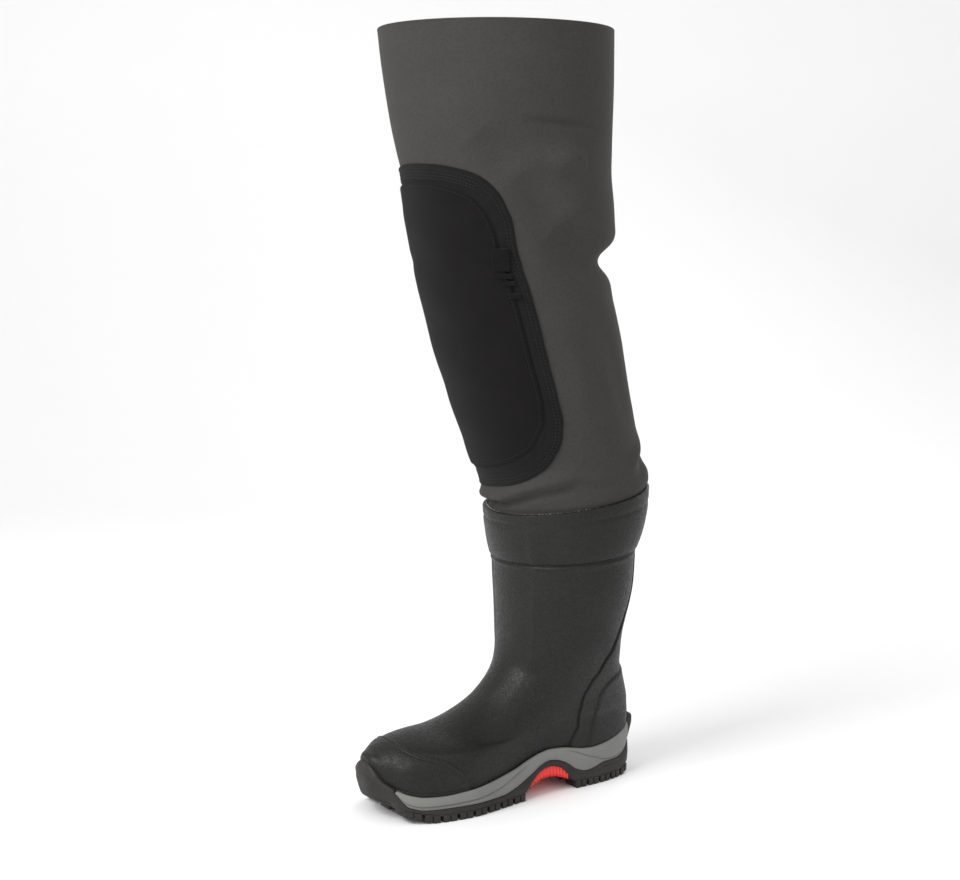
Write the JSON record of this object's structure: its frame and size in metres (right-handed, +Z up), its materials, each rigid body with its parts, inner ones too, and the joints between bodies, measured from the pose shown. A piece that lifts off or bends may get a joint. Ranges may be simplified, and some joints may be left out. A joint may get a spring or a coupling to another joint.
{
  "type": "neoprene chest wader",
  "caption": "Left leg of a neoprene chest wader from above the knee down: rubber boot on a lugged cup sole, neoprene leg, knee pad with pocket.",
  "frame": {"origin": "on the floor under the middle of the heel, 45 mm ahead of the back of the sole", "axes": "+X towards the toe, +Y towards the outer side of the foot, +Z up"},
  "size_m": [0.3195, 0.2181, 0.742],
  "materials": {
    "sole_rubber": "satin black moulded rubber",
    "midsole_foam": "matte grey moulded foam",
    "insert_rubber": "satin red",
    "insole_fabric": "dark lining",
    "boot_rubber": "fine-grained charcoal rubber",
    "leg_neoprene": "dark grey neoprene with a knitted face",
    "pad_fabric": "black woven",
    "pocket_fabric": "black, finely knitted"
  },
  "bodies": {
    "root": {"outsole": "sole_rubber", "kick_spur": "sole_rubber", "midsole": "midsole_foam", "arch_insert": "insert_rubber", "insole": "insole_fabric", "upper": "boot_rubber", "toe_cap": "boot_rubber", "back_stay": "boot_rubber", "heel_counter": "boot_rubber", "leg": "leg_neoprene", "knee_pad": "pad_fabric", "knee_pocket": "pocket_fabric"}
  },
  "joints": []
}
